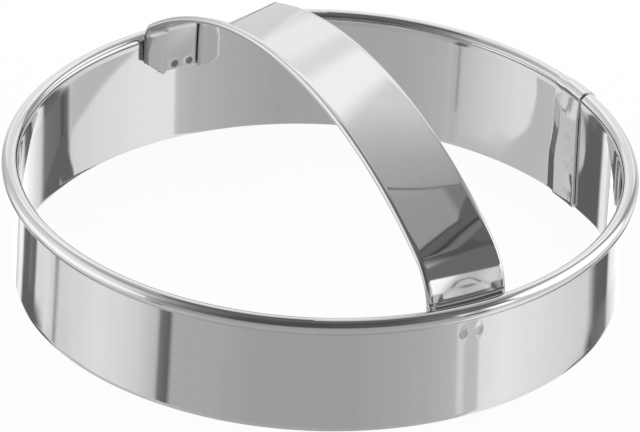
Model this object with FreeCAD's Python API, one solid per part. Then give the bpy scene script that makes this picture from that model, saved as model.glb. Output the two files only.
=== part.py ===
import FreeCAD, Part
import math
import os
from FreeCAD import Vector

# A round cutter: a steel band rolled into a ring, lapped and spot welded, with its top edge
# curled outwards, and an arched strap handle welded inside it.
# Sizes are in millimetres. The origin is on the ring's axis, level with the cutting edge.
# +Z is up and +X runs along the handle.

# The band
band_outer_radius = 60.0
band_sheet = 0.5
band_height = 25.8
curl_diameter = 3.45
curl_edge_gap = 0.15

# Chords in a quarter turn of the curl, outside and inside, and the quarters below its widest line
curl_outside_chords = 4
curl_inside_chords = 2
under_curl_quarters = 1.4

# The lap where the band's two ends meet. Angles are degrees from +X, anticlockwise from above.
seam_angle = 90.4
lap_length = 5.8
lap_gap = 0.1
joggle_length = 4.0
joggle_steps = 4
hidden_end_clearance = 0.6

# At the lap the two curls sit one inside the other: the upper one swells and the hidden one is pinched,
# and each wall leans out to its curl. The full curl stops a hairline short of the upper layer's edge.
curl_swell = 0.3
curl_pinch = 0.4
lean_height = 1.5
butt_gap = 0.12

# The welds down the lap
lap_weld_count = 4
lap_weld_from_edge = 3.0
lowest_lap_weld = 2.4
lap_weld_pitch = 6.3

# Every spot weld
weld_diameter = 1.75
weld_dent = 0.07
weld_bite = 0.15

# The handle strap, with both long edges hemmed under
strap_width = 17.25
strap_sheet = 0.45
hem_width = 4.9
hem_gap = 0.55
hem_chords = 4

# The arch leans a little to the front, with a softer bend there than at the back
handle_height = 49.2
arch_off_centre = 1.1
front_bend_radius = 11.8
front_bend_below_rim = 1.9
back_bend_radius = 5.2

# The tabs at the strap's ends, which lie against the inside of the band
tab_end_height = 16.8
tab_curved_length = 3.5
tab_seat_gap = 0.1
tab_flattening_steps = 4
clipped_corner_width = 4.2
clipped_corner_height = 3.7
rounded_corner_radius = 3.2

# The two welds in each tab: how far they are above the tab's end, and their middle off its centre line
tab_weld_pitch = 3.35
front_weld_above_end = 1.7
front_weld_offset = 0.4
back_weld_above_end = 1.25
back_weld_offset = 0.4

# How far cutting shapes run past what they cut
overshoot = 2.0

# Worked out from the above
band_inner_radius = band_outer_radius - band_sheet
curl_radius = curl_diameter / 2
curl_centre_radius = band_inner_radius + curl_radius
curl_centre_height = band_height - curl_radius
lap_step = band_sheet + lap_gap
seat_radius = band_inner_radius - tab_seat_gap
hem_radius = strap_sheet + hem_gap / 2
fold_line = strap_width / 2 - hem_radius
strap_face = math.sqrt(seat_radius ** 2 - (strap_width / 2) ** 2)
front_bend_height = band_height - front_bend_below_rim
front_rise = handle_height - front_bend_height
front_reach = strap_face - front_bend_radius - arch_off_centre
back_reach = strap_face - back_bend_radius + arch_off_centre
front_spread = front_reach ** 2 + front_rise ** 2 - front_bend_radius ** 2
arch_radius = front_spread / (2 * (front_rise - front_bend_radius))
arch_centre_height = handle_height - arch_radius
back_bend_height = arch_centre_height + math.sqrt((arch_radius - back_bend_radius) ** 2 - back_reach ** 2)
front_bend_angle = math.degrees(math.atan2(front_bend_height - arch_centre_height, front_reach))
back_bend_angle = math.degrees(math.atan2(back_bend_height - arch_centre_height, back_reach))

axis_foot = Vector(0, 0, 0)
up = Vector(0, 0, 1)
across_strap = Vector(0, -1, 0)


def arc_degrees(length):
    """Angle that a length of the band's wall takes up."""
    return math.degrees(length / band_outer_radius)


def smooth_step(part):
    """Goes from 0 to 1 with no slope at either end."""
    return part * part * (3 - 2 * part)


def at_angle(radius, height, angle):
    """Point at a radius and height, turned about the ring's axis."""
    turn = math.radians(angle)
    return Vector(radius * math.cos(turn), radius * math.sin(turn), height)


def three_point_arc(start, middle, end):
    return Part.Arc(start, middle, end).toShape()


def line(start, end):
    return Part.LineSegment(start, end).toShape()


def radial_bar(radius, angle, height, inner, outer):
    """Short round bar along a radius of the ring."""
    direction = at_angle(1, 0, angle)
    return Part.makeCylinder(radius, outer - inner, at_angle(inner, height, angle), direction)


def weld_nugget(angle, height, inner, outer):
    """Metal of a spot weld, which joins the two sheets across the hairline between them."""
    return radial_bar(weld_diameter / 2, angle, height, inner, outer)


def weld_dent_cutter(angle, height, face_radius, side):
    """Cap of a ball that leaves a shallow round dent. side is 1 for an outer face, -1 for an inner."""
    half = weld_diameter / 2
    ball_radius = (half ** 2 + weld_dent ** 2) / (2 * weld_dent)
    middle = face_radius + side * (ball_radius - weld_dent)
    ball = Part.makeSphere(ball_radius, at_angle(middle, height, angle))
    reach = half + weld_bite
    return ball.common(radial_bar(reach, angle, height, face_radius - weld_bite, face_radius + weld_bite))


def tab_weld_places():
    """Angle and height of the two welds in each tab."""
    places = []
    for side in (-1, 1):
        off_line = side * tab_weld_pitch / 2
        front_turn = math.degrees((front_weld_offset + off_line) / seat_radius)
        back_turn = math.degrees((back_weld_offset + off_line) / seat_radius)
        places.append((front_turn, tab_end_height + front_weld_above_end))
        places.append((180 - back_turn, tab_end_height + back_weld_above_end))
    return places


def band_section(angle, step_in=0.0, swell=0.0, leans=True):
    """Section of the wall and its curl. step_in is how far this layer lies inside the plain wall,
    swell is how much larger its curl is, and leans says whether the wall leans out to it."""
    face = band_inner_radius - step_in
    outer = curl_radius + swell
    inner = outer - band_sheet
    reach = (min(inner, curl_radius - band_sheet) - curl_edge_gap) / outer
    curl_end = math.degrees(math.acos(reach)) - 180

    def rim(radius, at):
        turn = math.radians(at)
        height = curl_centre_height + radius * math.sin(turn)
        return at_angle(curl_centre_radius + radius * math.cos(turn), height, angle)

    def rolled(radius, quarter_chords):
        """Points round the curl, from the wall over the top and outside to the raw edge."""
        over = 2 * quarter_chords
        under = round(quarter_chords * under_curl_quarters)
        points = [rim(radius, 180 - 180 * i / over) for i in range(over)]
        return points + [rim(radius, curl_end * i / under) for i in range(under + 1)]

    outside = rolled(outer, curl_outside_chords)
    inside = rolled(inner, curl_inside_chords)
    lean_from = curl_centre_height - lean_height
    outer_face = [at_angle(face + band_sheet, height, angle) for height in (lean_from, 0)]
    inner_face = [at_angle(face, height, angle) for height in (0, lean_from)]
    if not leans:
        outer_face, inner_face = outer_face[1:], inner_face[:1]
    return Part.makePolygon(outside + inside[::-1] + outer_face + inner_face + outside[:1])


def turned(wire, degrees):
    return Part.Face(wire).revolve(axis_foot, up, degrees)


def ring_band():
    """The whole band: plain turn, joggle, both ends of the lap, and the welds that close it."""
    lap_end = seam_angle + arc_degrees(lap_length)
    joggle_end = lap_end + arc_degrees(joggle_length)
    plain_end = 360 + seam_angle - arc_degrees(butt_gap)
    hidden_end = 360 + lap_end - arc_degrees(hidden_end_clearance)

    plain = turned(band_section(joggle_end, leans=False), plain_end - joggle_end)
    upper_end = turned(band_section(seam_angle, lap_step, curl_swell), lap_end - seam_angle)
    lower_end = turned(band_section(plain_end, 0, -curl_pinch), hidden_end - plain_end)
    sections = []
    for i in range(joggle_steps + 1):
        part = i / joggle_steps
        angle = lap_end + part * (joggle_end - lap_end)
        left = 1 - smooth_step(part)
        sections.append(band_section(angle, lap_step * left, curl_swell * left))
    joggle = Part.makeLoft(sections, True, False)
    band = plain.fuse([joggle, upper_end, lower_end])

    weld_angle = seam_angle + arc_degrees(lap_weld_from_edge)
    nuggets = []
    dents = []
    for i in range(lap_weld_count):
        height = lowest_lap_weld + i * lap_weld_pitch
        inner = band_inner_radius - lap_gap - weld_bite
        nuggets.append(weld_nugget(weld_angle, height, inner, band_inner_radius + weld_bite))
        dents.append(weld_dent_cutter(weld_angle, height, band_inner_radius - lap_step, -1))
        dents.append(weld_dent_cutter(weld_angle, height, band_outer_radius, 1))
    for angle, height in tab_weld_places():
        dents.append(weld_dent_cutter(angle, height, band_outer_radius, 1))
    return band.fuse(nuggets).cut(dents)


def strap_section(height, bow):
    """Section across the strap at a height on its upright leg.
    bow is 1 where the strap follows the band's curve and 0 where it is flat."""
    curvature = bow / seat_radius

    def place(across, depth):
        """Point across the strap and in from its outer face."""
        if bow < 1e-6:
            return Vector(strap_face - depth, across, height)
        turn = across * curvature
        edge_turn = strap_width / 2 * curvature
        middle = strap_face - math.cos(edge_turn) / curvature
        radius = 1 / curvature - depth
        return Vector(middle + radius * math.cos(turn), radius * math.sin(turn), height)

    def run(start, end, depth):
        if bow < 1e-6:
            return line(place(start, depth), place(end, depth))
        return three_point_arc(place(start, depth), place((start + end) / 2, depth), place(end, depth))

    def fold(side, turn_from, turn_to):
        """Half round of the hem as short chords, turned about the fold's middle."""
        points = []
        for i in range(hem_chords + 1):
            turn = math.radians(turn_from + (turn_to - turn_from) * i / hem_chords)
            across = side * (fold_line + hem_radius * math.cos(turn))
            points.append(place(across, hem_radius - hem_radius * math.sin(turn)))
        return [line(a, b) for a, b in zip(points, points[1:])]

    def crease(side, first, last):
        """Inside of the hem, pressed to a flat crease."""
        return line(place(side * fold_line, first), place(side * fold_line, last))

    raw_edge = strap_width / 2 - hem_width
    flange_face = 2 * hem_radius
    flange_back = flange_face - strap_sheet
    edges = [
        run(-fold_line, fold_line, 0),
        *fold(1, 90, -90),
        run(fold_line, raw_edge, flange_face),
        line(place(raw_edge, flange_face), place(raw_edge, flange_back)),
        run(raw_edge, fold_line, flange_back),
        crease(1, flange_back, strap_sheet),
        run(fold_line, -fold_line, strap_sheet),
        crease(-1, strap_sheet, flange_back),
        run(-fold_line, -raw_edge, flange_back),
        line(place(-raw_edge, flange_back), place(-raw_edge, flange_face)),
        run(-raw_edge, -fold_line, flange_face),
        *fold(-1, -90, 90),
    ]
    return Part.Wire(edges)


def corner_cutters():
    """Shapes that trim the two lower corners of a tab: one clipped straight, one rounded."""
    side = strap_width / 2
    low = tab_end_height
    depth = Vector(2 * overshoot, 0, 0)
    start = strap_face - 3 * hem_radius

    def at(across, height):
        return Vector(start, across, height)

    slope = clipped_corner_height / clipped_corner_width
    inner = at(-side + clipped_corner_width + overshoot / slope, low - overshoot)
    upper = at(-side - overshoot, low + clipped_corner_height + overshoot * slope)
    clip = Part.makePolygon([at(-side - overshoot, low - overshoot), inner, upper,
                             at(-side - overshoot, low - overshoot)])

    radius = rounded_corner_radius
    lean = radius * (1 - math.sqrt(0.5))
    corner = [
        line(at(side - radius, low - overshoot), at(side - radius, low)),
        three_point_arc(at(side - radius, low), at(side - lean, low + lean), at(side, low + radius)),
        line(at(side, low + radius), at(side + overshoot, low + radius)),
        line(at(side + overshoot, low + radius), at(side + overshoot, low - overshoot)),
        line(at(side + overshoot, low - overshoot), at(side - radius, low - overshoot)),
    ]
    return [Part.Face(clip).extrude(depth), Part.Face(Part.Wire(corner)).extrude(depth)]


def strap_leg(bend_height):
    """Upright end of the strap: the tab that follows the band, then the stretch that goes flat."""
    flat_from = tab_end_height + tab_curved_length
    tab = Part.Face(strap_section(tab_end_height, 1)).extrude(Vector(0, 0, tab_curved_length))
    sections = []
    for i in range(tab_flattening_steps + 1):
        part = i / tab_flattening_steps
        height = flat_from + part * (bend_height - flat_from)
        sections.append(strap_section(height, 1 - smooth_step(part)))
    return tab.fuse(Part.makeLoft(sections, True, False)).cut(corner_cutters())


def strap_end(bend_height, bend_radius, bend_angle):
    """A leg and its bend, and the face that the arch starts from."""
    bend_axis = Vector(strap_face - bend_radius, 0, bend_height)
    end_face = Part.Face(strap_section(bend_height, 0))
    bend = end_face.revolve(bend_axis, across_strap, bend_angle)
    arch_start = end_face.copy()
    arch_start.rotate(bend_axis, across_strap, bend_angle)
    return [strap_leg(bend_height), bend], arch_start


def handle_strap():
    """The strap: two legs, two bends and the long arch between them, with its weld nuggets."""
    front_pieces, arch_start = strap_end(front_bend_height, front_bend_radius, front_bend_angle)
    back_pieces, _ = strap_end(back_bend_height, back_bend_radius, back_bend_angle)
    arch_axis = Vector(arch_off_centre, 0, arch_centre_height)
    arch = arch_start.revolve(arch_axis, across_strap, 180 - front_bend_angle - back_bend_angle)
    mirrored = [piece.mirror(axis_foot, Vector(1, 0, 0)) for piece in back_pieces]
    strap = arch.fuse(front_pieces + mirrored)

    nuggets = []
    dents = []
    for angle, height in tab_weld_places():
        nuggets.append(weld_nugget(angle, height, seat_radius - weld_bite, nugget_end()))
        dents.append(weld_dent_cutter(angle, height, seat_radius - strap_sheet, -1))
    return strap.fuse(nuggets).cut(dents)


def nugget_end():
    """Radius at which the flat end of a tab's nugget meets the round wall at its rim."""
    return math.sqrt(band_inner_radius ** 2 - (weld_diameter / 2) ** 2)


def write_part(name, shape):
    solid = shape.Solids[0] if len(shape.Solids) == 1 else shape
    if not solid.isValid():
        raise RuntimeError(name + " is not a valid solid")
    solid.exportStep("parts/" + name + ".step")
    print(name, len(shape.Solids), "solid", round(solid.Volume, 1), "mm3", len(solid.Faces), "faces")


os.makedirs("parts", exist_ok=True)
write_part("cutter_ring", ring_band())
write_part("handle_strap", handle_strap())
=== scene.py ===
import math

import bmesh
import bpy
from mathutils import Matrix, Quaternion, Vector


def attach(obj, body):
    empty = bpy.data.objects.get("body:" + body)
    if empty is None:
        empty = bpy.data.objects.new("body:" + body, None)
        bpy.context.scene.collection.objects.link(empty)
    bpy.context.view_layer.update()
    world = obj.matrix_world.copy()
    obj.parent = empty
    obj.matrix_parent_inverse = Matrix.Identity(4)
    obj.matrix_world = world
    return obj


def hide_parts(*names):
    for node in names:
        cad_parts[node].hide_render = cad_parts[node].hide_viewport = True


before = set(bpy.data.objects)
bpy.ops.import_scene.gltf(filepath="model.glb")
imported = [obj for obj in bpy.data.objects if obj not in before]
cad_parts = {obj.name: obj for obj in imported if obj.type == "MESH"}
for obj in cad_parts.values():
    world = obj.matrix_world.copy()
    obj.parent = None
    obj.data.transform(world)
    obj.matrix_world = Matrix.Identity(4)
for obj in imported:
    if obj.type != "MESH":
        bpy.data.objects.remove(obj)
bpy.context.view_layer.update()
bpy.ops.object.select_all(action="DESELECT")
MM = 0.001

# The camera: a long lens 1.7 m away, looking down at the cutter with the strap running away to
# the upper left. It is held very slightly turned.
camera_place = Vector((1.25544, -0.72277, 0.8534))
camera_aim = Vector((0.000162, 0.000280, 0.012918))
camera_turn = math.radians(2.3785)
bpy.ops.object.camera_add(location=camera_place)
camera = bpy.context.object
camera.name = "camera"
camera.data.lens = 476.4
camera.data.sensor_width = 36
camera.data.clip_start = 0.05
camera.rotation_mode = "QUATERNION"
level_camera = (camera_aim - camera_place).to_track_quat("-Z", "Y")
camera.rotation_quaternion = level_camera @ Quaternion((0, 0, 1), camera_turn)
bpy.context.scene.camera = camera
bpy.context.scene.view_settings.view_transform = "Standard"


# The room: plain white light for all that is matt. Polished metal sees a round tent of pale cloth,
# with a grey cloth hung round the camera, dark gaps between the panels and a few cards.
def new_node(tree, kind, inputs=(), **settings):
    """Adds a node, with its settings and the inputs given as (socket, value) pairs."""
    made = tree.nodes.new(kind)
    for name, value in settings.items():
        setattr(made, name, value)
    for socket, value in inputs:
        if isinstance(value, bpy.types.NodeSocket):
            tree.links.new(value, made.inputs[socket])
        else:
            made.inputs[socket].default_value = value
    return made


def calculate(tree, operation, *values):
    return new_node(tree, "ShaderNodeMath", enumerate(values), operation=operation).outputs[0]


def layered(tree, base, value, share):
    """The base with a share of a value added to it."""
    return calculate(tree, "MULTIPLY_ADD", value, share, base)


def mixed(tree, part, first, second):
    made = new_node(tree, "ShaderNodeMix", [(0, part), (2, first), (3, second)], data_type="FLOAT")
    return made.outputs[0]


def smooth_range(tree, value, first, last):
    """0 at the first value and 1 at the last, with a smooth step between them."""
    inputs = [("Value", value), ("From Min", first), ("From Max", last)]
    return new_node(tree, "ShaderNodeMapRange", inputs, interpolation_type="SMOOTHSTEP").outputs[0]


def grey_ramp(tree, value, stops):
    """Grey levels along a value, each stop given as (value, level)."""
    brightest = 1.5
    first = stops[0][0]
    span = stops[-1][0] - first
    share = calculate(tree, "DIVIDE", calculate(tree, "SUBTRACT", value, first), span)
    ramp = new_node(tree, "ShaderNodeValToRGB", [("Fac", share)])
    elements = ramp.color_ramp.elements
    while len(elements) > 1:
        elements.remove(elements[-1])
    for number, (stop_value, level) in enumerate(stops):
        position = (stop_value - first) / span
        stop = elements[0] if number == 0 else elements.new(position)
        stop.position = position
        stop.color = [level / brightest] * 3 + [1]
    return calculate(tree, "MULTIPLY", ramp.outputs["Color"], brightest)


def card(tree, place, behind, edges, softness, level):
    """A card in front of what is behind it. Its edges are straight lines, each given as
    (across, up, limit): inside, across * turn + up * height is below the limit."""
    shown = 1
    for across, up, limit in edges:
        along = layered(tree, calculate(tree, "MULTIPLY", place[0], across), place[1], up)
        inside = smooth_range(tree, along, limit + softness, limit - softness)
        shown = calculate(tree, "MULTIPLY", shown, inside)
    return mixed(tree, shown, behind, level)


def round_card(tree, place, behind, middle, halves, softness, level, right_edge=None):
    """An oval card in front of what is behind it, cut off straight at the right if wanted."""
    reach = 0
    for value, centre, half in zip(place, middle, halves):
        away = calculate(tree, "DIVIDE", calculate(tree, "SUBTRACT", value, centre), half)
        reach = layered(tree, reach, away, away)
    shown = smooth_range(tree, calculate(tree, "SQRT", reach), 1 + softness, 1 - softness)
    if right_edge is not None:
        cut_softness = 0.5
        kept = smooth_range(tree, place[0], right_edge + cut_softness, right_edge - cut_softness)
        shown = calculate(tree, "MULTIPLY", shown, kept)
    return mixed(tree, shown, behind, level)


# Levels of the tent, in degrees round from the camera's side, positive to its right. The front
# ones are what the wall's outside shows, in two stretches, and the back ones what its inside shows.
front_split = 51
seen_in_front = [
    (-180, 1.43), (-166, 1.40), (-150, 1.18), (-144.5, 1.07), (-142.6, 0.25), (-140.5, 0.16),
    (-136, 0.16), (-134, 0.24), (-131.5, 0.18), (-129, 0.18), (-127.4, 0.90), (-118, 0.98),
    (-113.4, 0.88), (-112, 0.35), (-111, 0.35), (-109.4, 0.88), (-85, 1.00), (-75, 0.95),
    (-66, 0.84), (-58.6, 0.66), (-57.2, 0.23), (-53.2, 0.15), (-52.4, 0.54), (-40, 0.54),
    (-18, 0.47), (15, 0.47), (42, 0.56), (front_split, 0.62),
]
seen_in_front_right = [
    (front_split, 0.62), (53.2, 0.66), (54.3, 0.85), (56.0, 0.85), (57.2, 0.69), (61.9, 0.70),
    (63.3, 1.01), (74, 1.09), (88, 1.02), (112, 0.88), (121, 0.83), (127.5, 0.20), (130, 0.16),
    (139.6, 0.14), (142, 0.85), (144, 1.02), (158, 1.30), (168, 1.43), (180, 1.43),
]
seen_at_back = [
    (-180, 1.43), (-166, 1.38), (-158, 1.22), (-150, 1.10), (-144.5, 1.03), (-142.8, 0.15),
    (-121, 0.15), (-119.5, 0.78), (-104, 0.68), (-94, 0.66), (-57.4, 0.68), (-53.6, 0.60),
    (-51.5, 0.66), (-50, 0.60), (-30, 0.53), (20, 0.50), (52, 0.61), (61.6, 0.68), (63.2, 1.05),
    (75, 1.06), (100, 0.97), (118.8, 0.88), (120, 0.18), (122.4, 0.19), (123.8, 0.12),
    (125.4, 0.12), (126.6, 0.20), (139, 0.24), (142.5, 0.80), (150, 1.03), (166, 1.36), (180, 1.43),
]
level_with_cutter = [
    (-180, 1.00), (-164, 1.10), (-152, 0.86), (-146, 0.64), (-136, 0.58), (-127, 0.74),
    (-112, 0.84), (-100, 0.92), (-75, 0.92), (-64, 0.82), (-57, 0.58), (-50, 0.43), (-30, 0.46),
    (30, 0.49), (48, 0.50), (62, 0.70), (90, 0.77), (118, 0.88), (126, 1.20), (134, 1.10),
    (141, 0.78), (150, 0.85), (165, 1.05), (180, 1.00),
]
above_cutter = [
    (-180, 0.97), (-157, 0.93), (-146, 0.70), (-134, 0.78), (-120, 0.84), (-102, 1.03), (-85, 1.05),
    (-67, 0.92), (-58, 0.60), (-51, 0.32), (-40, 0.18), (-25, 0.10), (0, 0.10), (30, 0.13),
    (42, 0.20), (52, 0.32), (60, 0.38), (66, 0.55), (70, 0.90), (120, 1.00), (130, 0.70),
    (136, 0.44), (145, 0.40), (154, 0.74), (168, 0.95), (180, 0.97),
]
high_up = [
    (-180, 0.80), (-164, 0.76), (-142, 0.66), (-122, 0.48), (-80, 0.44), (-64, 0.32), (-46, 0.20),
    (-28, 0.12), (0, 0.09), (40, 0.10), (56, 0.13), (66, 0.16), (80, 0.12), (90, 0.12), (102, 0.17),
    (103.4, 0.41), (125, 0.43), (133, 0.49), (145, 0.54), (158, 0.66), (170, 0.84), (180, 0.84),
]
tent_radius = 0.79
bpy.ops.mesh.primitive_uv_sphere_add(segments=96, ring_count=48, radius=tent_radius)
bpy.ops.object.shade_smooth()
dome = bpy.context.object
dome.name = "round_tent"
for rays in ("camera", "diffuse", "transmission", "volume_scatter", "shadow"):
    setattr(dome, "visible_" + rays, False)
cloth = bpy.data.materials.new("tent_cloth")
cloth.use_nodes = True
tree = cloth.node_tree
tree.nodes.clear()
# The camera stands this far round from the x axis
camera_side = math.radians(29.93)
spot = new_node(tree, "ShaderNodeTexCoord").outputs["Object"]
toward = new_node(tree, "ShaderNodeVectorMath", [(0, spot)], operation="NORMALIZE").outputs[0]
turned = [("Vector", toward), ("Angle", camera_side)]
toward = new_node(tree, "ShaderNodeVectorRotate", turned, rotation_type="Z_AXIS").outputs[0]
axes = new_node(tree, "ShaderNodeSeparateXYZ", [("Vector", toward)]).outputs
turn = calculate(tree, "DEGREES", calculate(tree, "ARCTAN2", axes["Y"], axes["X"]))
height = calculate(tree, "DEGREES", calculate(tree, "ARCSINE", axes["Z"]))
place = (turn, height)

at_right = calculate(tree, "GREATER_THAN", turn, front_split)
front_left = grey_ramp(tree, turn, seen_in_front)
front_right = grey_ramp(tree, turn, seen_in_front_right)
front = mixed(tree, at_right, front_left, front_right)
back = grey_ramp(tree, turn, seen_at_back)
back_cards = [
    # The thin gap left of the pale panel
    ([(1, 0, -54.9), (-1, 0, 56.3), (0, -1, 32.0)], 0.5, 0.46),
    # The foot of the dark panel at the left, and the soft shade behind it
    ([(-1, 0, -116), (1, 0, 123), (-1, 4.6, -263.9)], 0.5, 0.16),
    ([(1, 0, 119.3), (-1, -22.5, 570.4)], 3.0, 0.66),
    # The dark panel's darker hem, which slopes, and a scrap of light cloth under it
    ([(0.07, 1, -21.71), (-1, 0, -121), (1, 0, 139)], 0.12, 0.165),
    ([(-0.157, 1, -51.63), (-1, 0, -122.5), (1, 0, 126)], 0.15, 0.50),
]
for edges, softness, grey in back_cards:
    back = card(tree, place, back, edges, softness, grey)
# The pale panel with the round foot, then the round card beside the seam
pale = grey_ramp(tree, turn, [(-96, 1.00), (-84, 0.97), (-69, 0.84), (-57, 0.69)])
back = round_card(tree, place, back, (-60, -29.5), (34.2, 3.53), softness=0.02, level=pale, right_edge=-57.2)
back = round_card(tree, place, back, (-120, -29.95), (8.2, 1.1), softness=0.06, level=0.70)
# The wall's outside shows what is above this line and its inside what is below. The line sinks
# a little towards the sides.
sink = 0.60
sink_turn = 125
aside = calculate(tree, "DIVIDE", turn, sink_turn)
above_line = layered(tree, height, calculate(tree, "MULTIPLY", aside, aside), sink)
room = mixed(tree, smooth_range(tree, above_line, -28.32, -28.08), back, front)
# Each zone of the tent gives way to the next between two heights, and the last one is below all
zones = [
    (-24, -14, grey_ramp(tree, turn, level_with_cutter)),
    (-2, 18, grey_ramp(tree, turn, above_cutter)),
    (36, 57, grey_ramp(tree, turn, high_up)),
    (71, 82, 0.17),
    (-50, -70, 0.46),
]
for start, end, zone in zones:
    room = mixed(tree, smooth_range(tree, height, start, end), room, zone)
# The cloth that darkens the front bend, then the two big lamps, which show as white ovals
shade_edges = [(1, 0, 76), (-1, 0, -47), (0, -1, -25), (0, 1, 60)]
room = card(tree, place, room, shade_edges, softness=3.0, level=0.19)
room = round_card(tree, place, room, (-90, 2), (37, 16), softness=0.30, level=1.32, right_edge=-56.5)
room = round_card(tree, place, room, (102.3, 26.5), (29.0, 25.5), softness=0.09, level=1.43)
# The window that the front bend shows, darker in the middle, with a small dark spot in it
window = grey_ramp(tree, turn, [(46, 0.95), (51, 0.86), (54, 0.66), (57.5, 0.74), (60, 1.25), (64, 1.43)])
window_edges = [(1, 0, 69), (-1, 0, -48), (0, 1, 26.5), (0, -1, -4.0)]
room = card(tree, place, room, window_edges, softness=1.6, level=window)
room = round_card(tree, place, room, (55.8, 17), (1.5, 2.6), softness=0.40, level=0.36)
# Two soft white bands behind the cutter, which the strap's arch shows one above the other
from_middle = (calculate(tree, "ABSOLUTE", turn), height)
for low, high, grey in ((14, 27, 1.12), (34, 47, 1.21)):
    band_edges = [(-1, 0, -148), (0, 1, high), (0, -1, -low)]
    room = card(tree, from_middle, room, band_edges, softness=3.0, level=grey)
other_cards = [
    # The dark foot of the window
    ([(1, 0, 58.6), (-1, 0, -49.5), (0, 1, 3.5), (0, -1, 11)], 1.5, 0.16),
    # Across the room: the white table beyond the horizon, its dark edge and the panel above it
    ([(1, 0, -150), (1.24, 1, -206.1), (-1.4, -1, 245.2)], 0.9, 0.84),
    ([(1, 0, -150), (1.4, 1, -245.2), (-1.4, -1, 246.2)], 0.3, 0.35),
    ([(1, 0, -150), (1.4, 1, -246.2)], 0.3, 1.40),
    # High up at the right: a seam, a shade, and the layered edge of the dark cloth
    ([(1, 0.88, 185.9), (-1, -0.88, -184.7), (-1, 0, -118), (0, -1, -50)], 0.4, 0.24),
    ([(0, -1, -67.7), (1, 0.88, 184.5), (-1, 0, -96)], 0.8, 0.27),
    ([(1, -2.6, -69.0), (0, -1, -65)], 0.6, 0.16),
    ([(1, 0, 103.2), (-1, 0, -101.8), (0, -1, -50), (0, 1, 67)], 0.4, 0.12),
    ([(1, 0, 98.2), (-1, 0, -96.3), (0, -1, -50)], 0.4, 0.08),
    ([(1, 0, 95.8), (-1, 0, -92), (0, -1, -54)], 0.9, 0.24),
]
for edges, softness, grey in other_cards:
    room = card(tree, place, room, edges, softness, grey)
glow = new_node(tree, "ShaderNodeEmission", [("Color", room), ("Strength", 1.0)])
new_node(tree, "ShaderNodeOutputMaterial", [("Surface", glow.outputs[0])])
dome.data.materials.append(cloth)

world = bpy.data.worlds.new("white_light")
bpy.context.scene.world = world
world.use_nodes = True
tree = world.node_tree
tree.nodes.clear()
plain_light = new_node(tree, "ShaderNodeBackground", [("Color", (1, 1, 1, 1)), ("Strength", 1.0)])
new_node(tree, "ShaderNodeOutputWorld", [("Surface", plain_light.outputs[0])])


# The floor: a white matt table top just under the cutter. It looks nearly pure white, and it
# keeps the cutter's soft shadow.
table_size = 8
table_gap = 0.02 * MM
paper_white = (0.95, 0.95, 0.95, 1)
own_glow = 0.94
bpy.ops.mesh.primitive_plane_add(size=table_size, location=(0, 0, -table_gap))
floor = bpy.context.object
floor.name = "floor"
floor.visible_glossy = False
paper = bpy.data.materials.new("white_table")
paper.use_nodes = True
tree = paper.node_tree
tree.nodes.clear()
matt = new_node(tree, "ShaderNodeBsdfDiffuse", [("Color", paper_white)])
glow = new_node(tree, "ShaderNodeEmission", [("Color", (1, 1, 1, 1)), ("Strength", 1.0)])
seen_directly = new_node(tree, "ShaderNodeLightPath").outputs["Is Camera Ray"]
share = calculate(tree, "MULTIPLY", seen_directly, own_glow)
surface = new_node(tree, "ShaderNodeMixShader", [(0, share), (1, matt.outputs[0]), (2, glow.outputs[0])])
new_node(tree, "ShaderNodeOutputMaterial", [("Surface", surface.outputs[0])])
floor.data.materials.append(paper)


# The ring: one strip of bright stainless sheet, rolled round, with its ends lapped and spot
# welded in a row. Its top edge is curled outwards into a bead.
bare_grey = 0.665
weld_grey = 0.05
weld_lines = 0.35
weld_rim_grey = 0.80
polish = 0.032
finger_dullness = 0.05
rim_dullness = 0.1
# Extra roughness inside the box of painted shade
weld_dullness = 0.30
shade_box_dullness = 0.10
weld_core = 0.9 * MM
weld_disc = 1.2 * MM
weld_rim = 2.0 * MM
wave_height = 0.012 * MM
line_height = 0.00035 * MM
scratch_depth = 0.0002 * MM
buckle_height = 0.026 * MM
buckle_core = 2 * MM
buckle_reach = 5 * MM


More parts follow.
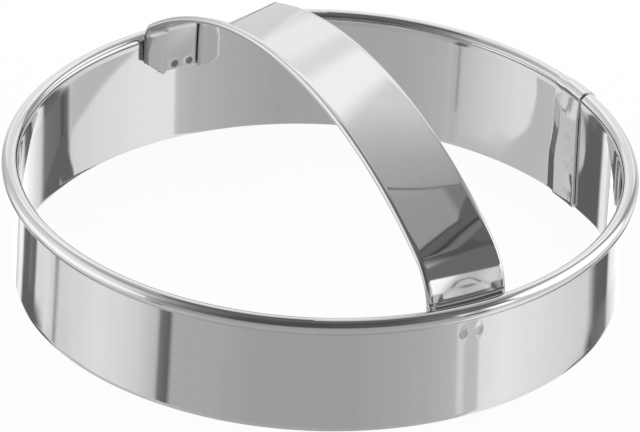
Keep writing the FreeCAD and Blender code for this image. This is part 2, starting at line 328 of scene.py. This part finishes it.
def steel(name, rolling, streaking, welds, crumpled=None, shaded_box=None):
    """Bright rolled sheet with fine rolling lines, faint streaks, finger marks and scratches.
    rolling and streaking squeeze those patterns along each axis. Each weld is a (place, darkness)
    pair and leaves a dull disc with a paler rim. crumpled is the foot of an upright line along
    which the sheet is buckled. The last argument is a box of (low, high) corners in which the
    colour is darkened by painted shade and the sheet made a little rougher."""
    made = bpy.data.materials.new(name)
    made.use_nodes = True
    tree = made.node_tree
    tree.nodes.clear()
    spot = new_node(tree, "ShaderNodeTexCoord").outputs["Object"]

    def pattern(squeeze, detail, twist=0.0):
        squeezed = new_node(tree, "ShaderNodeVectorMath", [(0, spot), (1, squeeze)], operation="MULTIPLY")
        inputs = [("Vector", squeezed.outputs[0]), ("Scale", 1.0), ("Detail", detail), ("Distortion", twist)]
        return new_node(tree, "ShaderNodeTexNoise", inputs).outputs["Fac"]

    def distance(first, second):
        inputs = [(0, first), (1, second)]
        return new_node(tree, "ShaderNodeVectorMath", inputs, operation="DISTANCE").outputs["Value"]

    lines = pattern(rolling, detail=2.0)
    streaks = pattern(streaking, detail=2.0)
    finger_marks = smooth_range(tree, pattern((65, 65, 65), detail=3.0, twist=0.6), 0.50, 0.72)
    waves = pattern((95, 95, 95), detail=1.0)
    scratches = smooth_range(tree, pattern((1900, 150, 260), detail=0.0, twist=0.5), 0.79, 0.84)
    grey = bare_grey
    for mark, share in ((lines, 0.03), (streaks, 0.04), (scratches, -0.02)):
        grey = layered(tree, grey, mark, share)
    dullness = layered(tree, polish, finger_marks, finger_dullness)
    for weld, darkness in welds:
        away = distance(spot, weld)
        disc = smooth_range(tree, away, weld_disc, weld_core)
        disc = calculate(tree, "MULTIPLY", disc, darkness)
        rim = smooth_range(tree, away, weld_rim, weld_disc)
        rim = calculate(tree, "MULTIPLY", rim, darkness / 2)
        grey = mixed(tree, rim, grey, weld_rim_grey)
        grey = mixed(tree, disc, grey, layered(tree, weld_grey, lines, weld_lines))
        dullness = mixed(tree, disc, layered(tree, dullness, rim, rim_dullness), weld_dullness)
    relief = 0.0
    for mark, rise in ((waves, wave_height), (lines, line_height), (scratches, -scratch_depth)):
        relief = layered(tree, relief, mark, rise)
    if crumpled:
        flattened = [(0, spot), (1, (1, 1, 0))]
        flat = new_node(tree, "ShaderNodeVectorMath", flattened, operation="MULTIPLY").outputs[0]
        near = smooth_range(tree, distance(flat, crumpled), buckle_reach, buckle_core)
        buckles = calculate(tree, "MULTIPLY", pattern((420, 420, 330), detail=1.0, twist=0.3), near)
        relief = layered(tree, relief, buckles, buckle_height)
    # Painted shade: inside the box the colour is darkened, and the sheet is made a little rougher
    if shaded_box:
        blur = 0.5 * MM
        painted_shade = 1
        parts = new_node(tree, "ShaderNodeSeparateXYZ", [("Vector", spot)]).outputs
        for part, low, high in zip(parts, *shaded_box):
            for edge, fade in ((low, blur), (high, -blur)):
                within = smooth_range(tree, part, edge - fade, edge + fade)
                painted_shade = calculate(tree, "MULTIPLY", painted_shade, within)
        # The painted shade is darkest beside the clipped corner
        thin_side = 7 * MM
        thin_shade = 0.11
        added_shade = 0.35
        thickness = smooth_range(tree, parts["Y"], thin_side, -thin_side)
        shade_darkness = layered(tree, thin_shade, thickness, added_shade)
        left = calculate(tree, "SUBTRACT", 1.0, calculate(tree, "MULTIPLY", painted_shade, shade_darkness))
        grey = calculate(tree, "MULTIPLY", grey, left)
        dullness = layered(tree, dullness, painted_shade, shade_box_dullness)
    bump = new_node(tree, "ShaderNodeBump", [("Height", relief), ("Strength", 1.0), ("Distance", 1.0)])
    finish = [("Base Color", grey), ("Metallic", 1.0), ("Roughness", dullness), ("Normal", bump.outputs[0])]
    metal = new_node(tree, "ShaderNodeBsdfPrincipled", finish)
    new_node(tree, "ShaderNodeOutputMaterial", [("Surface", metal.outputs[0])])
    return made


hair = 0.01 * MM
speck = 0.001 * MM


def pick(test):
    """Selects the vertices whose place passes the test, and nothing else."""
    mesh = bmesh.from_edit_mesh(bpy.context.object.data)
    for vertex in mesh.verts:
        vertex.select_set(False)
    for vertex in mesh.verts:
        if test(vertex.co):
            vertex.select_set(True)
    mesh.select_flush_mode()
    bmesh.update_edit_mesh(bpy.context.object.data)


def start_point(place):
    """Adds a single point to pull a sheet from, and leaves it selected."""
    bpy.ops.object.select_all(action="DESELECT")
    bpy.ops.mesh.primitive_plane_add(size=MM, location=place)
    bpy.ops.object.transform_apply(location=True)
    bpy.ops.object.mode_set(mode="EDIT")
    bpy.ops.mesh.select_mode(type="VERT")
    bpy.ops.mesh.select_all(action="SELECT")
    bpy.ops.mesh.merge(type="CENTER")
    return bpy.context.object


def pull(step, times):
    """Extrudes what is selected, the same step again and again."""
    for _ in range(times):
        bpy.ops.mesh.extrude_region_move(TRANSFORM_OT_translate={"value": step})


def thicken(piece, thickness, edge_round):
    """Gives the sheet its thickness and takes the sharpness off its cut edges."""
    bpy.ops.object.mode_set(mode="OBJECT")
    skin = piece.modifiers.new("sheet", "SOLIDIFY")
    skin.thickness = thickness
    skin.offset = 0
    skin.use_even_offset = True
    bpy.ops.object.modifier_apply(modifier="sheet")
    eased = piece.modifiers.new("eased", "BEVEL")
    eased.width = edge_round
    eased.segments = 2
    eased.limit_method = "ANGLE"
    eased.angle_limit = math.radians(60)
    bpy.ops.object.modifier_apply(modifier="eased")
    bpy.ops.object.shade_smooth_by_angle(angle=math.radians(40))


def press_dent(place, push, width):
    """Presses a shallow round dent, as a weld electrode does."""
    near = Vector(place)
    mesh = bmesh.from_edit_mesh(bpy.context.object.data)
    middle = min(mesh.verts, key=lambda vertex: (vertex.co - near).length).co.copy()
    pick(lambda co: (co - middle).length < speck)
    bpy.ops.transform.translate(value=push, use_proportional_edit=True,
                                proportional_edit_falloff="SPHERE", proportional_size=width / 2)


def on_ring(angle, radius, z):
    turn = math.radians(angle)
    return Vector((math.cos(turn) * radius, math.sin(turn) * radius, z))


# The sheet's sizes are taken along its middle, and the angles are in degrees
sheet = 0.5 * MM
cut_round = 0.06 * MM
wall_radius = 59.75 * MM
wall_height = 24.075 * MM
wall_rows = 32
waist = 0.07 * MM
foot_flare = 0.2 * MM
curl_centre = (61.225 * MM, 0, wall_height)
curl_turn = 308.5
curl_rows = 24
seam = 90.4
lap_step = 0.6 * MM
curl_swell = 0.3 * MM
curl_pinch = 0.4 * MM
lean_from = 20.8 * MM
tongue_turn = 5.539
tongue_columns = 16
joggle_turn = 3.820
joggle_columns = 22
steep_turn = 2.45
step_turn = 0.03
hidden_turn = 5.051
hidden_columns = 12
# The plain turn as (degrees, columns), finer near the tabs
plain_turns = [(76.041, 130), (8, 26), (172, 260), (9, 30), (85.485, 150)]
z_axis = (0, 0, -1)
origin = (0, 0, 0)


def roll_on(degrees, columns):
    """Carries the sheet's end on round the ring."""
    bpy.ops.mesh.spin(steps=columns, angle=math.radians(degrees), center=origin, axis=z_axis)


def face_outwards():
    bpy.ops.mesh.select_all(action="SELECT")
    bpy.ops.mesh.normals_make_consistent(inside=False)


# The strip starts with a tongue that lies inside the lap, then the joggle that steps out to
# the wall
ring = start_point((wall_radius + foot_flare, 0, 0))
ring.name = "cutter_band"
pull((-foot_flare / wall_rows, 0, wall_height / wall_rows), wall_rows)
pick(lambda place: abs(place.z - wall_height / 2) < hair)
bpy.ops.transform.translate(value=(-waist, 0, 0), use_proportional_edit=True,
                            proportional_edit_falloff="INVERSE_SQUARE", proportional_size=wall_height / 2)
pick(lambda place: abs(place.z - wall_height) < hair)
bpy.ops.mesh.spin(steps=curl_rows, angle=math.radians(curl_turn), center=curl_centre, axis=(0, -1, 0))
bpy.ops.mesh.select_all(action="SELECT")
roll_on(tongue_turn, tongue_columns)
roll_on(joggle_turn, joggle_columns)
face_outwards()
bpy.ops.object.mode_set(mode="OBJECT")


def press_layer(name, vertices, strength, curl_share, along):
    """Presses part of the sheet in or out: the wall by the whole strength, or not at all, and the
    curl by its share of it. along gives how much is left of it at an angle and a height."""
    group = ring.vertex_groups.new(name=name)
    wall_share = 1 if curl_share < 1 else 0
    clear_of_wall = wall_radius + 0.6 * MM
    for vertex in vertices:
        place = vertex.co
        in_curl = min(max((place.z - lean_from) / (wall_height - lean_from), 0), 1)
        if math.hypot(place.x, place.y) > clear_of_wall:
            in_curl = 1
        share = wall_share + (curl_share - wall_share) * in_curl
        angle = math.degrees(math.atan2(place.y, place.x))
        group.add([vertex.index], share * along(angle, place.z), "REPLACE")
    press = ring.modifiers.new(name, "DISPLACE")
    press.vertex_group = name
    press.mid_level = 0
    press.strength = strength
    bpy.ops.object.modifier_apply(modifier=name)


def lapped(angle, z):
    """1 on the lap and 0 past the joggle. The joggle wanders: it is nearer to the seam at the top."""
    wander_top = 17 * MM
    wander_height = 10 * MM
    nearest = 0.1
    wander = 0.8
    lower = min(max((wander_top - z) / wander_height, 0), 1)
    spare = joggle_turn - steep_turn
    start = tongue_turn + spare * (nearest + wander * lower * lower * (3 - 2 * lower))
    return 1 - min(max((angle - start) / steep_turn, 0), 1)


press_layer("lapped_end", ring.data.vertices, lap_step, curl_swell / lap_step, lapped)
bpy.ops.object.mode_set(mode="EDIT")
last = math.radians(tongue_turn + joggle_turn)
pick(lambda place: abs(math.atan2(place.y, place.x) - last) * wall_radius < 2 * hair)
for degrees, columns in plain_turns:
    roll_on(degrees, columns)
bpy.ops.object.mode_set(mode="OBJECT")
# Its other end lies outside the tongue, with its curl pinched to nest in the tongue's
full_curl = len(ring.data.vertices)
bpy.ops.object.mode_set(mode="EDIT")
roll_on(step_turn, 1)
roll_on(hidden_turn, hidden_columns)
face_outwards()
bpy.ops.object.mode_set(mode="OBJECT")
press_layer("hidden_end", ring.data.vertices[full_curl:], -curl_pinch, 1, lambda angle, z: 1)
ring.rotation_euler.z = math.radians(seam)
bpy.ops.object.transform_apply(rotation=True)
bpy.ops.object.mode_set(mode="EDIT")

# Welds as (angle, height in millimetres): two at each tab, and four up the middle of the lap
tab_welds = [(-1.23, 18.5), (2.00, 18.5), (181.23, 18.05), (178.00, 18.05)]
weld_dent = 0.05 * MM
weld_width = 1.9 * MM
lap_middle = seam + 2.865
lap_welds = [(lap_middle, z) for z in (2.4, 8.7, 15.0, 21.3)]
lap_dent = 0.03 * MM
lap_weld_width = 2.2 * MM
for angle, z in tab_welds:
    press_dent(on_ring(angle, wall_radius, z * MM), on_ring(angle, -weld_dent, 0), weld_width)
for angle, z in lap_welds:
    for radius, push in ((wall_radius - lap_step, lap_dent), (wall_radius, -lap_dent)):
        press_dent(on_ring(angle, radius, z * MM), on_ring(angle, push, 0), lap_weld_width)
thicken(ring, sheet, cut_round)
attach(ring, "root")
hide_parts("cutter_ring")

# The marks of the welds lie nearer to the wall's outside at the tabs, and to its inside at the
# lap, where the sheet is buckled too
outer_mark = wall_radius + 0.1 * MM
inner_mark = wall_radius - 0.3 * MM
buckled = wall_radius - 0.55 * MM
tab_darkness = 0.4
lap_darkness = 0.12
ring_welds = [(on_ring(angle, outer_mark, z * MM), tab_darkness) for angle, z in tab_welds]
ring_welds += [(on_ring(angle, inner_mark, z * MM), lap_darkness) for angle, z in lap_welds]
ring.data.materials.append(steel("bright_band_steel", (45, 45, 3200), (750, 750, 22), ring_welds,
                                 crumpled=on_ring(lap_middle, buckled, 0)))


# The strap: one strip of the same steel, a little thinner, with both long edges hemmed under,
# arched over the ring and bent down at both ends. Each end is a tab, bowed to the wall and spot
# welded to it.
strap_sheet = 0.45 * MM
strap_cut_round = 0.05 * MM
top = 49.2 * MM
crown = 1.1 * MM
side = 8.625 * MM
dish = 0.28 * MM
hem_radius = 0.5 * MM
fold_line = 7.9 * MM
raw_edge = 3.725 * MM
upper_sheet = top - strap_sheet / 2
lower_sheet = upper_sheet - 2 * hem_radius
hem_place = upper_sheet - hem_radius
hem_columns = 5
fold_columns = 10
face_columns = 32
strap = start_point((crown, -raw_edge, lower_sheet))
strap.name = "hemmed_strap"
pull((0, (raw_edge - fold_line) / hem_columns, 0), hem_columns)
bpy.ops.mesh.spin(steps=fold_columns, angle=math.pi, center=(crown, -fold_line, hem_place), axis=(1, 0, 0))
pull((0, 2 * fold_line / face_columns, 0), face_columns)
bpy.ops.mesh.spin(steps=fold_columns, angle=math.pi, center=(crown, fold_line, hem_place), axis=(1, 0, 0))
pull((0, (raw_edge - fold_line) / hem_columns, 0), hem_columns)
pick(lambda place: abs(place.y) < hair)
bpy.ops.transform.translate(value=(0, 0, -dish), use_proportional_edit=True, use_proportional_connected=True,
                            proportional_edit_falloff="INVERSE_SQUARE", proportional_size=fold_line)
bpy.ops.mesh.select_all(action="SELECT")
arch_middle = (crown, 0, -47.2797 * MM)
tab_end = 16.8 * MM


def bend_down(arch_turn, bend_middle, way):
    """From the crown: the arch, the bend and the straight leg of one end."""
    axis = (0, way, 0)
    arch_rows = 64
    bend_rows = 32
    leg_rows = 40
    bpy.ops.mesh.spin(steps=arch_rows, angle=math.radians(arch_turn), center=arch_middle, axis=axis)
    bpy.ops.mesh.spin(steps=bend_rows, angle=math.radians(90 - arch_turn), center=bend_middle, axis=axis)
    pull((0, 0, (tab_end - bend_middle[2]) / leg_rows), leg_rows)


front_bend = (46.9705 * MM, 0, 23.9 * MM)
front_arch_turn = 32.799
back_bend = (-53.5705 * MM, 0, 25.817 * MM)
back_arch_turn = 36.794
bend_down(front_arch_turn, front_bend, -1)
pick(lambda place: abs(place.x - crown) < speck)
bend_down(back_arch_turn, back_bend, 1)

# The tabs' corners: one is clipped straight, the other rounded. Only the legs are cut.
leg_reach = 6 * MM
clip_width = 4.2 * MM
clip_height = 3.7 * MM
corner_radius = 3.2 * MM


def trim(place, outwards):
    pick(lambda co: co.z < tab_end + leg_reach)
    bpy.ops.mesh.bisect(plane_co=place, plane_no=outwards, clear_outer=True, threshold=speck)


trim((0, -side + clip_width, tab_end), (0, -clip_height, -clip_width))
corner_middle = Vector((0, side - corner_radius, tab_end + corner_radius))
for degrees in range(10, 90, 10):
    turn = math.radians(degrees)
    outwards = Vector((0, math.cos(turn), -math.sin(turn)))
    trim(corner_middle + outwards * corner_radius, outwards)

# The tabs bow out to the wall from their middle line, and are welded there in pairs
bow = 0.63 * MM
bow_reach = 3.5 * MM
for way in (1, -1):
    pick(lambda co: abs(co.y) < hair and co.z < tab_end + bow_reach and co.x * way > 0)
    bpy.ops.transform.translate(value=(way * bow, 0, 0), use_proportional_edit=True,
                                proportional_edit_falloff="INVERSE_SQUARE", proportional_size=side)
face_outwards()
tab_radius = 59.2 * MM
weld_sides = (-1.275 * MM, 2.075 * MM)
strap_weld_places = [(way, y, z) for way, z in ((1, 18.5 * MM), (-1, 18.05 * MM)) for y in weld_sides]
for way, y, z in strap_weld_places:
    press_dent((way * tab_radius, y, z), (way * weld_dent, 0, 0), weld_width)
thicken(strap, strap_sheet, strap_cut_round)
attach(strap, "root")
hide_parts("handle_strap")

# The weld marks lie between the tab and the wall, and a box of painted shade is on the back tab
mark_radius = 59.35 * MM
strap_darkness = 0.9
strap_welds = [((way * mark_radius, y, z), strap_darkness) for way, y, z in strap_weld_places]
back_tab_shade_box = ((-62 * MM, -9.5 * MM, 16 * MM), (-55 * MM, 9.5 * MM, 26.4 * MM))
strap.data.materials.append(steel("bright_strap_steel", (45, 2600, 45), (22, 520, 22), strap_welds,
                                  shaded_box=back_tab_shade_box))
